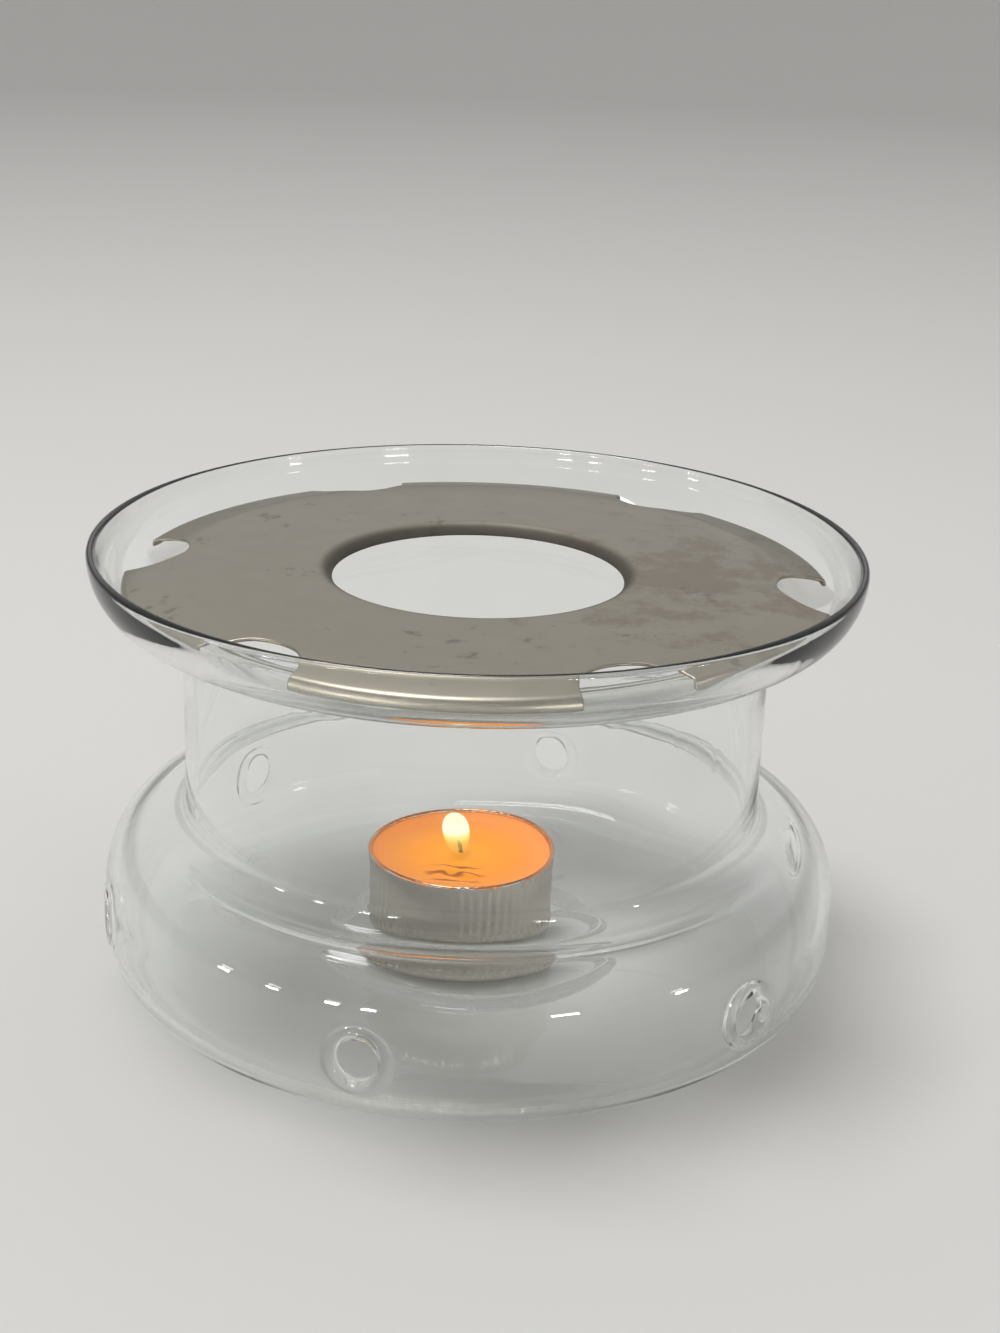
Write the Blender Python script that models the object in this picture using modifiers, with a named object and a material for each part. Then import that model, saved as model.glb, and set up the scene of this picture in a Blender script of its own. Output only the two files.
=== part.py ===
"""Glass teapot warmer with a notched steel plate and a tea light.

The warmer stands on z = 0 with its axis on Z and its front towards -Y.
The glass body carries the plate in its dish and the tea light inside a low ring on its floor.
All sizes are in metres and all angles in degrees.
"""

import math

import bmesh
import bpy

# Clearances between pieces that touch
FIT_GAP = 0.0003
DISH_GAP = 0.0004

# Glass body: one blown wall of even thickness
WALL = 0.0022
NECK_RADIUS = 0.0568
NECK_HEIGHT = 0.0331
NECK_FILLET = 0.0060
SHOULDER_REACH = 0.0102
SHOULDER_RISE = 0.0140
SIDE_HEIGHT = 0.0070
CORNER_RADIUS = 0.0115
DISH_FILLET = 0.0040
DISH_FLOOR = 0.0034
DISH_ROUND = 0.0100
DISH_DEPTH = 0.0113

# Low ring on the floor, round the tea light
RING_MARGIN = 0.0066
RING_ROUND = 0.0015
RING_FILLET = 0.0010

# Air vents through the side of the glass
VENT_COUNT = 6
VENT_RADIUS = 0.0040
VENT_FIRST = -15.0

# Tea light
CANDLE_OFFSET = 0.0019
CUP_RADIUS = 0.0190
CUP_HEIGHT = 0.0208
CUP_WALL = 0.0004
CUP_EDGE = 0.0020
CUP_ROLL = 0.0005
WAX_DROP = 0.0022
WAX_EDGE_RISE = 0.0012
WICK_RADIUS = 0.0007
WICK_STAND = 0.0034
WICK_LEAN = 0.0008
DISC_RADIUS = 0.0065
DISC_THICKNESS = 0.0004
COLLAR_WALL = 0.0005
COLLAR_HEIGHT = 0.0040

# Steel plate
PLATE_SHEET = 0.0007
PLATE_SIDE_GAP = 0.0040
HOLE_CLEARANCE = 0.0073
HOLE_BEND = 0.0034
HOLE_TURN = 65.0
BORDER_BEND = 0.0080
BORDER_SLOPE = 11.5
BORDER_RUN = 0.0078
FLANGE_BEND = 0.0011
FLANGE_DROP = 0.0004
NOTCH_COUNT = 6
NOTCH_RADIUS = 0.0108
NOTCH_FIRST = 24.0

# Facets of the turned pieces
GLASS_STEPS = 48
PLATE_STEPS = 60
CANDLE_STEPS = 40
SMALL_STEPS = 20
CUTTER_STEPS = 24

# Radii and heights that follow from the sizes above
BULGE_RADIUS = NECK_RADIUS + NECK_FILLET + SHOULDER_REACH
LIP_RADIUS = NECK_RADIUS + DISH_FILLET + DISH_FLOOR + DISH_ROUND
SIDE_TOP = CORNER_RADIUS + SIDE_HEIGHT
SHOULDER_TOP = SIDE_TOP + SHOULDER_RISE
NECK_TOP = SHOULDER_TOP + NECK_FILLET + NECK_HEIGHT
DISH_BASE = NECK_TOP + DISH_FILLET
LIP_CENTRE = DISH_BASE + DISH_DEPTH
RING_RADIUS = CUP_RADIUS + CANDLE_OFFSET + RING_MARGIN
RING_CENTRE = WALL + RING_FILLET
RING_HALF = RING_ROUND + RING_FILLET
VENT_HEIGHT = CORNER_RADIUS + SIDE_HEIGHT / 2
PLATE_RADIUS = LIP_RADIUS - WALL - PLATE_SIDE_GAP
HOLE_RADIUS = CUP_RADIUS + CANDLE_OFFSET + HOLE_CLEARANCE


def arc(centre, radii, start, end, count):
    """Points on an ellipse about centre (x, z), from one angle to another, both ends kept."""
    points = []
    for index in range(count):
        angle = math.radians(start + (end - start) * index / (count - 1))
        x = centre[0] + radii[0] * math.cos(angle)
        z = centre[1] + radii[1] * math.sin(angle)
        points.append((x, z))
    return points


def chain(*groups):
    """Joins groups of points and drops a point that repeats the one before it."""
    joined = []
    for group in groups:
        for point in group:
            if not joined or math.dist(point, joined[-1]) > 1e-6:
                joined.append(point)
    return joined


def radial(radius, angle, height):
    """A point at a radius and an angle that is 0 at the front and grows towards the right."""
    turn = math.radians(angle)
    return (radius * math.sin(turn), -radius * math.cos(turn), height)


def new_collection(name):
    """A collection of the scene."""
    collection = bpy.data.collections.new(name)
    bpy.context.scene.collection.children.link(collection)
    return collection


def material(name, colour, roughness, metallic=0.0, transmission=0.0):
    """A Principled material in one plain colour."""
    made = bpy.data.materials.new(name)
    made.use_nodes = True
    shader = made.node_tree.nodes["Principled BSDF"]
    shader.inputs["Base Color"].default_value = (*colour, 1.0)
    shader.inputs["Roughness"].default_value = roughness
    shader.inputs["Metallic"].default_value = metallic
    shader.inputs["Transmission Weight"].default_value = transmission
    made.diffuse_color = (*colour, 1.0)
    return made


def place(name, data, collection, look=None, parent=None):
    """Links a new object to its collection, with its material and its parent."""
    made = bpy.data.objects.new(name, data)
    collection.objects.link(made)
    if look is not None:
        data.materials.append(look)
    if parent is not None:
        made.parent = parent
    return made


def turned(name, profile, closed, steps, collection, look, parent=None):
    """A profile in the XZ plane, turned about Z with a Screw modifier."""
    mesh = bpy.data.meshes.new(name)
    build = bmesh.new()
    verts = [build.verts.new((x, 0.0, z)) for x, z in profile]
    for first, second in zip(verts, verts[1:]):
        build.edges.new((first, second))
    if closed:
        build.edges.new((verts[-1], verts[0]))
    build.to_mesh(mesh)
    build.free()
    made = place(name, mesh, collection, look, parent)
    screw = made.modifiers.new("Turn", "SCREW")
    screw.axis = "Z"
    screw.angle = math.tau
    screw.steps = steps
    screw.render_steps = steps
    screw.use_merge_vertices = True
    screw.merge_threshold = 0.00001
    screw.use_smooth_shade = True
    return made


def cutter(name, radius, length, collection, location, rotation=(0.0, 0.0, 0.0)):
    """A closed cylinder that is only used to cut."""
    mesh = bpy.data.meshes.new(name)
    build = bmesh.new()
    bmesh.ops.create_cone(build, cap_ends=True, segments=CUTTER_STEPS,
                          radius1=radius, radius2=radius, depth=length)
    build.to_mesh(mesh)
    build.free()
    made = place(name, mesh, collection)
    made.location = location
    made.rotation_euler = rotation
    made.hide_render = True
    made.display_type = "WIRE"
    return made


def cut(target, collection):
    """Cuts every object of a collection out of the target."""
    boolean = target.modifiers.new("Cut", "BOOLEAN")
    boolean.operation = "DIFFERENCE"
    boolean.solver = "EXACT"
    boolean.operand_type = "COLLECTION"
    boolean.collection = collection


def glass_profile():
    """Inside of the glass from its floor up to the lip, then its outside down and under."""
    shoulder = (NECK_RADIUS + NECK_FILLET, SIDE_TOP)
    corner = (BULGE_RADIUS - CORNER_RADIUS, CORNER_RADIUS)
    fillet = (NECK_RADIUS + NECK_FILLET, SHOULDER_TOP + NECK_FILLET)
    flare = (NECK_RADIUS + DISH_FILLET, NECK_TOP)
    dish = (LIP_RADIUS - DISH_ROUND, LIP_CENTRE)
    inner_corner = CORNER_RADIUS - WALL
    inside = chain(
        [(0.0, WALL)],
        arc((RING_RADIUS - RING_HALF, RING_CENTRE), (RING_FILLET, RING_FILLET), -90, 0, 4),
        arc((RING_RADIUS, RING_CENTRE), (RING_ROUND, RING_ROUND), 180, 0, 7),
        arc((RING_RADIUS + RING_HALF, RING_CENTRE), (RING_FILLET, RING_FILLET), 180, 270, 4),
        arc(corner, (inner_corner, inner_corner), -90, 0, 6),
        arc(shoulder, (SHOULDER_REACH - WALL, SHOULDER_RISE - WALL), 0, 90, 7),
        arc(fillet, (NECK_FILLET + WALL, NECK_FILLET + WALL), 270, 180, 6),
        arc(flare, (DISH_FILLET + WALL, DISH_FILLET + WALL), 180, 90, 5),
        arc(dish, (DISH_ROUND - WALL, DISH_DEPTH - WALL), -90, 0, 7),
    )
    lip = arc((LIP_RADIUS - WALL / 2, LIP_CENTRE), (WALL / 2, WALL / 2), 180, 0, 6)
    outside = chain(
        arc(dish, (DISH_ROUND, DISH_DEPTH), 0, -90, 7),
        arc(flare, (DISH_FILLET, DISH_FILLET), 90, 180, 5),
        arc(fillet, (NECK_FILLET, NECK_FILLET), 180, 270, 6),
        arc(shoulder, (SHOULDER_REACH, SHOULDER_RISE), 90, 0, 7),
        arc(corner, (CORNER_RADIUS, CORNER_RADIUS), 0, -90, 7),
        [(0.0, 0.0)],
    )
    return chain(inside, lip, outside)


def dish_height(radius):
    """Height of the dish's inner wall at a radius."""
    share = (radius - (LIP_RADIUS - DISH_ROUND)) / (DISH_ROUND - WALL)
    return LIP_CENTRE - (DISH_DEPTH - WALL) * math.sqrt(max(0.0, 1.0 - share * share))


def sheet_line():
    """Upper side of the plate's sheet as (radius, height, heading), height 0 on its flat.

    It starts at the hole's turned-down lip, crosses the flat, slopes down over the border
    and ends at the foot of the flange. A heading of 0 runs outwards and 90 runs down.
    """
    slope = math.radians(BORDER_SLOPE)
    bend_run = BORDER_BEND * math.sin(slope)
    flange_run = FLANGE_BEND * (1.0 - math.sin(slope))
    flat_end = PLATE_RADIUS - bend_run - BORDER_RUN - flange_run
    shoulder = HOLE_RADIUS + HOLE_BEND * math.sin(math.radians(HOLE_TURN))
    line = []
    for index in range(5):
        turn = math.radians(HOLE_TURN * (1.0 - index / 4))
        line.append((shoulder - HOLE_BEND * math.sin(turn),
                     HOLE_BEND * (math.cos(turn) - 1.0), -turn))
    for index in range(3):
        turn = slope * index / 2
        line.append((flat_end + BORDER_BEND * math.sin(turn),
                     BORDER_BEND * (math.cos(turn) - 1.0), turn))
    edge_radius = flat_end + bend_run + BORDER_RUN
    edge_height = BORDER_BEND * (math.cos(slope) - 1.0) - BORDER_RUN * math.tan(slope)
    for index in range(5):
        turn = slope + (math.pi / 2 - slope) * index / 4
        line.append((edge_radius + FLANGE_BEND * (math.sin(turn) - math.sin(slope)),
                     edge_height + FLANGE_BEND * (math.cos(turn) - math.cos(slope)), turn))
    line.append((line[-1][0], line[-1][1] - FLANGE_DROP, math.pi / 2))
    return line


def plate_profile(line):
    """Upper side outwards and lower side back, one sheet thickness apart."""
    upper = [(radius, height) for radius, height, heading in line]
    lower = [(radius - PLATE_SHEET * math.sin(heading), height - PLATE_SHEET * math.cos(heading))
             for radius, height, heading in line]
    return chain(upper, reversed(lower))


def cup_profile():
    """Inside of the cup up to its rolled rim, then its outside down to the middle of its foot."""
    body = CUP_RADIUS - CUP_ROLL
    inner = body - CUP_WALL
    edge = (body - CUP_EDGE, CUP_EDGE)
    inner_edge = CUP_EDGE - CUP_WALL
    roll = (CUP_RADIUS - (CUP_ROLL + CUP_WALL) / 2, CUP_HEIGHT - (CUP_ROLL + CUP_WALL) / 2)
    roll_radius = (CUP_ROLL + CUP_WALL) / 2
    return chain(
        [(0.0, CUP_WALL)],
        arc(edge, (inner_edge, inner_edge), -90, 0, 4),
        [(inner, roll[1])],
        arc(roll, (roll_radius, roll_radius), 180, -20, 6),
        [(body, CUP_HEIGHT - CUP_ROLL - CUP_WALL - CUP_ROLL)],
        arc(edge, (CUP_EDGE, CUP_EDGE), 0, -90, 4),
        [(0.0, 0.0)],
    )


def wax_profile():
    """Top of the wax outwards, its side down, and its foot back round the wick's disc and collar."""
    side = CUP_RADIUS - CUP_ROLL - CUP_WALL - FIT_GAP
    foot = CUP_WALL + FIT_GAP
    edge_radius = CUP_EDGE - CUP_WALL - FIT_GAP
    edge = (side - edge_radius, foot + edge_radius)
    level = CUP_HEIGHT - WAX_DROP
    bore = WICK_RADIUS + FIT_GAP
    collar = WICK_RADIUS + FIT_GAP + COLLAR_WALL + FIT_GAP
    disc = DISC_RADIUS + FIT_GAP
    collar_top = foot + COLLAR_HEIGHT + FIT_GAP
    disc_top = foot + DISC_THICKNESS + FIT_GAP
    return chain(
        [(bore, level), (side * 0.8, level), (side * 0.95, level + WAX_EDGE_RISE / 3)],
        [(side, level + WAX_EDGE_RISE)],
        arc(edge, (edge_radius, edge_radius), 0, -90, 4),
        [(disc, foot), (disc, disc_top), (collar, disc_top)],
        [(collar, collar_top), (bore, collar_top)],
    )


def sustainer_profile():
    """Outside of the collar down to the disc, and back up the bore."""
    foot = CUP_WALL + FIT_GAP
    bore = WICK_RADIUS + FIT_GAP
    collar = bore + COLLAR_WALL
    return [
        (bore, foot + COLLAR_HEIGHT),
        (collar, foot + COLLAR_HEIGHT),
        (collar, foot + DISC_THICKNESS),
        (DISC_RADIUS, foot + DISC_THICKNESS),
        (DISC_RADIUS, foot),
        (bore, foot),
    ]


def wick_points():
    """The wick's middle line: upright in the wax, then bending over to the left."""
    foot = CUP_WALL + FIT_GAP
    level = CUP_HEIGHT - WAX_DROP
    points = [(0.0, 0.0, foot), (0.0, 0.0, foot + COLLAR_HEIGHT), (0.0, 0.0, level)]
    for index in range(1, 6):
        share = index / 5
        points.append((-WICK_LEAN * share * share, 0.0, level + WICK_STAND * share))
    return points


def build_glass(parts, cutters):
    """The blown glass body with its air vents."""
    look = material("clear_glass", (0.86, 0.91, 0.88), 0.03, transmission=1.0)
    glass = turned("glass_body", glass_profile(), False, GLASS_STEPS, parts, look)
    length = 6 * WALL
    for index in range(VENT_COUNT):
        angle = VENT_FIRST + 360.0 * index / VENT_COUNT
        where = radial(BULGE_RADIUS - WALL / 2, angle, VENT_HEIGHT)
        cutter(f"vent_cutter_{index + 1}", VENT_RADIUS, length, cutters, where,
               (math.pi / 2, 0.0, math.radians(angle)))
    cut(glass, cutters)
    return glass


def build_plate(parts, cutters):
    """The pressed steel plate, lying in the dish on the foot of its flange."""
    look = material("satin_steel", (0.46, 0.45, 0.42), 0.34, metallic=1.0)
    line = sheet_line()
    drop = -line[-1][1]
    height = dish_height(PLATE_RADIUS) + DISH_GAP + drop
    origin = place("plate_lift", None, parts)
    origin.location = (0.0, 0.0, height)
    plate = turned("support_plate", plate_profile(line), True, PLATE_STEPS, parts, look, origin)
    length = 2 * (drop + NOTCH_RADIUS)
    for index in range(NOTCH_COUNT):
        angle = NOTCH_FIRST + 360.0 * index / NOTCH_COUNT
        cutter(f"notch_cutter_{index + 1}", NOTCH_RADIUS, length, cutters,
               radial(PLATE_RADIUS, angle, height))
    cut(plate, cutters)
    return plate


def build_candle(parts):
    """The tea light: cup, wax, wick, and the disc that holds the wick."""
    origin = place("candle_lift", None, parts)
    origin.location = (-CANDLE_OFFSET, 0.0, WALL + FIT_GAP)
    foil = material("cup_aluminium", (0.78, 0.76, 0.73), 0.25, metallic=1.0)
    wax = material("orange_wax", (0.90, 0.36, 0.12), 0.35)
    tin = material("disc_tin", (0.62, 0.61, 0.58), 0.35, metallic=1.0)
    char = material("wick_cotton", (0.06, 0.05, 0.045), 0.90)
    turned("candle_cup", cup_profile(), False, CANDLE_STEPS, parts, foil, origin)
    turned("candle_wax", wax_profile(), True, CANDLE_STEPS, parts, wax, origin)
    turned("wick_sustainer", sustainer_profile(), True, SMALL_STEPS, parts, tin, origin)
    curve = bpy.data.curves.new("candle_wick", "CURVE")
    curve.dimensions = "3D"
    curve.bevel_depth = WICK_RADIUS
    curve.bevel_resolution = 2
    curve.use_fill_caps = True
    points = wick_points()
    spline = curve.splines.new("POLY")
    spline.points.add(len(points) - 1)
    for target, point in zip(spline.points, points):
        target.co = (*point, 1.0)
    place("candle_wick", curve, parts, char, origin)


def main():
    """Clears the scene and builds the warmer."""
    for old in list(bpy.data.objects):
        bpy.data.objects.remove(old, do_unlink=True)
    parts = new_collection("teapot_warmer")
    build_glass(parts, new_collection("vent_cutters"))
    build_plate(parts, new_collection("notch_cutters"))
    build_candle(parts)


main()
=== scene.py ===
"""Glass teapot warmer with a notched steel plate and a lit tea light, in front of a pale sweep.

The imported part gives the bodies. Each operator builds one visible piece as a surface of two
parameters, worked out with numpy, and lets it ride on the body that carries it.
Sizes are in metres, Z is up, and the front faces -Y.
"""

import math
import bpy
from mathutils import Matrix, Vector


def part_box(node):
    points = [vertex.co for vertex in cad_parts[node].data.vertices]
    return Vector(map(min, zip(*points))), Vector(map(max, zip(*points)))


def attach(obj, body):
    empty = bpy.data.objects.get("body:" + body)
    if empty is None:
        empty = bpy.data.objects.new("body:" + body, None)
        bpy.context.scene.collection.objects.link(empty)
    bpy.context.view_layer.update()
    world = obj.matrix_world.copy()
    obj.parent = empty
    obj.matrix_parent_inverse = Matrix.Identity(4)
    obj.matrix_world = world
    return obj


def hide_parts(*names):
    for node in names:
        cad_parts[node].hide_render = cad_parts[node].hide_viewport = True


bl_info = {
    "name": "Glass Teapot Warmer",
    "version": (1, 0, 0),
    "blender": (4, 5, 0),
    "location": "View3D > Sidebar > Warmer",
    "description": "Builds the glass, plate, tea light and stage of a teapot warmer",
    "category": "Object",
}

import bmesh
import bpy
import numpy as np
from bpy.props import FloatProperty, FloatVectorProperty, IntProperty, PointerProperty
from mathutils import Matrix

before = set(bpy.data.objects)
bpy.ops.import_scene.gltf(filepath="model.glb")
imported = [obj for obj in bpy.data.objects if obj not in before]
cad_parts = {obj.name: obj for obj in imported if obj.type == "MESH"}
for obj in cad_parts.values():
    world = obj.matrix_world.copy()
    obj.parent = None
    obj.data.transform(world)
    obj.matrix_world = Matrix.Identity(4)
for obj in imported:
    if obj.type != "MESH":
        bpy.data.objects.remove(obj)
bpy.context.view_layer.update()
CUP_LOW, CUP_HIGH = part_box("candle_cup")
PLATE_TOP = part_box("support_plate")[1].z

# Where the tea light stands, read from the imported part
CANDLE_X = (CUP_LOW.x + CUP_HIGH.x) / 2
CANDLE_Y = (CUP_LOW.y + CUP_HIGH.y) / 2
CANDLE_Z = CUP_LOW.z

# Middle of the wax's crust, from the tea light's axis
CRUST_X = -0.0012
CRUST_Y = -0.0092

# Distances under which two points are one, in a mesh and in a line
WELD = 0.000002
SAME = 1e-8


def length(name, description, default):
    """A length property in metres."""
    return FloatProperty(name=name, description=description, default=default, min=0.0,
                         precision=5, subtype="DISTANCE", unit="LENGTH")


def colour(name, description, default):
    """A colour property."""
    return FloatVectorProperty(name=name, description=description, default=default, size=3,
                               min=0.0, max=1.0, subtype="COLOR")


def angular(name, description, degrees):
    """An angle property, given in degrees."""
    return FloatProperty(name=name, description=description, default=math.radians(degrees),
                         subtype="ANGLE", unit="ROTATION")


def number(name, description, default):
    """A count of like features."""
    return IntProperty(name=name, description=description, default=default, min=3)


class WarmerGlassSizes(bpy.types.PropertyGroup):
    """Sizes and tint of the blown glass body."""

    wall: length("Wall", "Thickness of the glass", 0.0022)
    neck_radius: length("Neck radius", "Outer radius of the straight neck", 0.0568)
    neck_height: length("Neck height", "Height of the straight neck", 0.0351)
    neck_fillet: length("Neck fillet", "Radius between neck and shoulder", 0.0040)
    ledge: length("Ledge", "Level part between the fillet and the shoulder", 0.0020)
    shoulder_reach: length("Shoulder reach", "How far the shoulder runs out", 0.0102)
    shoulder_rise: length("Shoulder rise", "How far the shoulder rises", 0.0140)
    side_height: length("Side height", "Height of the straight side", 0.0070)
    corner_radius: length("Corner radius", "Radius between side and foot", 0.0115)
    dish_fillet: length("Dish fillet", "Radius between neck and dish", 0.0040)
    dish_floor: length("Dish floor", "Width of the dish's flat floor", 0.0034)
    dish_round: length("Dish round", "Reach of the dish's curved wall", 0.0100)
    dish_depth: length("Dish depth", "Depth of the dish's curved wall", 0.0113)
    lip_taper: length("Lip taper", "How much thinner than the wall the lip is", 0.0006)
    lip_rise: length("Lip rise", "Height of the rounded lip over the dish's wall", 0.00101)
    ring_radius: length("Ring radius", "Radius of the low ring on the floor", 0.0275)
    ring_height: length("Ring height", "How far the ring stands over the floor", 0.0025)
    ring_width: length("Ring width", "Reach of the ring's bell curve", 0.0014)
    vent_radius: length("Vent radius", "Narrowest radius of an air vent", 0.0039)
    vent_rim: length("Vent rim", "Radius of the thickened rim's section", 0.0015)
    vent_count: number("Vents", "Number of air vents", 6)
    vent_first: angular("First vent", "Angle from the front", -15.0)
    ripple: length("Ripple", "Unevenness of the blown wall", 0.00007)
    tint: colour("Glass tint", "Colour of the clear glass", (0.968, 0.978, 0.970))


class WarmerPlateSizes(bpy.types.PropertyGroup):
    """Sizes and colours of the pressed steel plate."""

    radius: length("Radius", "Outer radius of the plate", 0.0680)
    sheet: length("Sheet", "Thickness of the steel", 0.0007)
    hole_radius: length("Hole radius", "Radius of the centre hole", 0.0282)
    hole_bend: length("Hole bend", "Radius of the hole's turned-down lip", 0.0034)
    hole_turn: angular("Hole turn", "How far the lip turns down", 65.0)
    border_bend: length("Border bend", "Radius between flat and border", 0.0080)
    border_slope: angular("Border slope", "Slope of the border", 11.5)
    border_run: length("Border run", "Width of the sloping border", 0.0078)
    flange_bend: length("Flange bend", "Radius between border and flange", 0.0011)
    flange_drop: length("Flange drop", "Straight part of the flange", 0.0004)
    notch_radius: length("Notch radius", "Radius of an edge notch", 0.0108)
    notch_count: number("Notches", "Number of notches", 6)
    notch_first: angular("First notch", "Angle from the front", 24.0)
    steel: colour("Steel", "Colour of the clean steel", (0.31, 0.282, 0.228))
    stain: colour("Heat stain", "Colour of the heat stains", (0.240, 0.203, 0.156))


class WarmerCandleSizes(bpy.types.PropertyGroup):
    """Sizes and colours of the tea light."""

    cup_radius: length("Cup radius", "Outer radius of the cup's rim", 0.0190)
    cup_height: length("Cup height", "Height of the cup", 0.0208)
    cup_wall: length("Cup wall", "Thickness of the foil", 0.0004)
    cup_edge: length("Cup edge", "Radius at the cup's foot", 0.0020)
    cup_roll: length("Cup roll", "How far the rolled rim stands out", 0.0005)
    flute_count: number("Flutes", "Crimps round the wall", 64)
    flute_depth: length("Flute depth", "Depth of a crimp", 0.00013)
    wax_drop: length("Wax drop", "How far the melted pool lies below the rim", 0.0022)
    wax_climb: length("Wax climb", "How far the wax climbs at the cup's wall", 0.0015)
    pool_radius: length("Pool radius", "Radius of the melted pool", 0.0142)
    wick_radius: length("Wick radius", "Radius of the wick", 0.0004)
    wick_stand: length("Wick stand", "Height of the wick over the wax", 0.0034)
    wick_lean: length("Wick lean", "How far the wick's tip leans", 0.0008)
    flame_height: length("Flame height", "Height of the flame", 0.0091)
    flame_radius: length("Flame radius", "Widest radius of the flame", 0.0029)
    foil: colour("Foil", "Colour of the aluminium cup", (0.60, 0.568, 0.510))
    wax: colour("Wax", "Colour of the solid wax", (0.80, 0.28, 0.075))
    pool: colour("Pool", "Colour of the melted wax", (0.80, 0.21, 0.0))
    # Painted shade: the darker colour put in the crust's creases, where the glow would flatten the
    # shading
    crack_shade: colour("Crack", "Colour in the cracks of the crust", (0.30, 0.075, 0.004))


class WarmerStageSettings(bpy.types.PropertyGroup):
    """Floor, light and camera."""

    floor: colour("Floor", "Colour of the pale sweep", (0.68, 0.67, 0.65))
    focal: FloatProperty(name="Focal length", description="Camera lens in millimetres",
                         default=54.75, min=10.0)
    camera_back: length("Camera distance", "Distance in front of the glass", 0.37296)
    camera_height: length("Camera height", "Height over the table", 0.20127)
    yaw: angular("Yaw", "Camera turn to the right", 0.731)
    pitch: angular("Pitch", "Camera tilt downwards", 20.476)
    roll: angular("Roll", "Camera roll", 1.851)


# Lines in the (radius, height) plane

def arc_line(centre, radii, start, end, count=48):
    """Points of an ellipse: the centre plus the radii times cosine and sine of even angles.

    A single number for the radii gives a circle.
    """
    angle = np.radians(np.linspace(start, end, count))
    wide, high = np.broadcast_to(radii, 2)
    return np.stack([centre[0] + wide * np.cos(angle), centre[1] + high * np.sin(angle)], axis=1)


def joined_line(*pieces):
    """Lines set end to end, without the points that repeat the one before."""
    line = np.concatenate([np.reshape(piece, (-1, 2)) for piece in pieces])
    step = np.linalg.norm(np.diff(line, axis=0), axis=1)
    return line[np.concatenate([[True], step > SAME])]


def line_lengths(line):
    """Distance from the start of a line to each of its points."""
    step = np.linalg.norm(np.diff(line, axis=0), axis=1)
    return np.concatenate([[0.0], np.cumsum(step)])


def on_line(line, where):
    """Radius and height at distances along a line, by linear interpolation."""
    run = line_lengths(line)
    return np.interp(where, run, line[:, 0]), np.interp(where, run, line[:, 1])


def line_normals(line, where, reach=0.00012):
    """Unit normals on the left of a line that runs down, from its points a little either side."""
    run = line_lengths(line)[-1]
    after = np.stack(on_line(line, np.minimum(where + reach, run)), axis=-1)
    before = np.stack(on_line(line, np.maximum(where - reach, 0.0)), axis=-1)
    step = after - before
    step /= np.linalg.norm(step, axis=-1, keepdims=True)
    return -step[..., 1], step[..., 0]


def about_axis(radius, height, angle):
    """Points at a radius, a height and an angle from the front that grows towards the right."""
    radius, height, angle = np.broadcast_arrays(radius, height, angle)
    return np.stack([radius * np.sin(angle), -radius * np.cos(angle), height], axis=-1)


def full_turn(steps):
    """Even angles all round, without the last, which is the first again."""
    return np.linspace(0.0, 2.0 * np.pi, steps + 1)[:-1]


def smooth_step(value):
    """Rises from 0 to 1 over the range 0 to 1 as three squares less two cubes."""
    value = np.clip(value, 0.0, 1.0)
    return value * value * (3.0 - 2.0 * value)


def rows_between(stops, counts):
    """Distances that divide each span between stops into its own count of even steps."""
    spans = [np.linspace(low, high, count, endpoint=False)
             for low, high, count in zip(stops, stops[1:], counts)]
    return np.append(np.concatenate(spans), stops[-1])


# Meshes from grids of points

def grid_quads(points, wrap_rows=False, wrap_columns=False, keep=None, flip=False):
    """Corner numbers of the quads between neighbouring points of a grid."""
    rows, columns = points.shape[:2]
    number = np.arange(rows * columns).reshape(rows, columns)
    if wrap_rows:
        number = np.concatenate([number, number[:1]], axis=0)
    if wrap_columns:
        number = np.concatenate([number, number[:, :1]], axis=1)
    quads = np.stack([number[:-1, :-1], number[1:, :-1], number[1:, 1:], number[:-1, 1:]], axis=-1)
    if keep is not None:
        quads = quads[keep]
    quads = quads.reshape(-1, 4)
    return quads[:, ::-1] if flip else quads


def surface_object(name, grids, sharp=None):
    """One object from grids of (points, quads), with doubled points merged."""
    points = []
    quads = []
    first = 0
    for grid, faces in grids:
        points.append(grid.reshape(-1, 3))
        quads.append(faces + first)
        first += points[-1].shape[0]
    mesh = bpy.data.meshes.new(name)
    mesh.from_pydata(np.concatenate(points).tolist(), [], np.concatenate(quads).tolist())
    weld = bmesh.new()
    weld.from_mesh(mesh)
    bmesh.ops.remove_doubles(weld, verts=weld.verts, dist=WELD)
    weld.to_mesh(mesh)
    weld.free()
    mesh.shade_smooth()
    if sharp is not None:
        mesh.set_sharp_from_angle(angle=math.radians(sharp))
    made = bpy.data.objects.new(name, mesh)
    bpy.context.scene.collection.objects.link(made)
    return made


def turned_object(name, grid, flip=True, sharp=None):
    """One object from a single grid that closes round its columns."""
    return surface_object(name, [(grid, grid_quads(grid, wrap_columns=True, flip=flip))], sharp)


def dress(made, look, body, nodes=()):
    """Gives a piece its material and the body it rides on, and hides the CAD nodes it stands for."""
    made.data.materials.append(look)
    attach(made, body)
    if nodes:
        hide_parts(*nodes)


# Node helpers

def new_material(name):
    """A material with its Principled shader."""
    made = bpy.data.materials.new(name)
    made.use_nodes = True
    return made, made.node_tree, made.node_tree.nodes["Principled BSDF"]


def add_node(tree, kind, **settings):
    """A node with some of its settings set by name."""
    made = tree.nodes.new(kind)
    for key, value in settings.items():
        setattr(made, key, value)
    return made


def set_sockets(made, values):
    """Sets a node's own sockets to plain values, by name."""
    for name, value in values.items():
        made.inputs[name].default_value = value


def feed(made, name, source):
    """Links an output to one of a node's sockets."""
    made.id_data.links.new(source, made.inputs[name])


def noise(tree, vector, scale, detail=3.0, roughness=0.55):
    """A noise pattern on the given coordinates."""
    made = add_node(tree, "ShaderNodeTexNoise")
    set_sockets(made, {"Scale": scale, "Detail": detail, "Roughness": roughness})
    feed(made, "Vector", vector)
    return made.outputs["Fac"]


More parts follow.
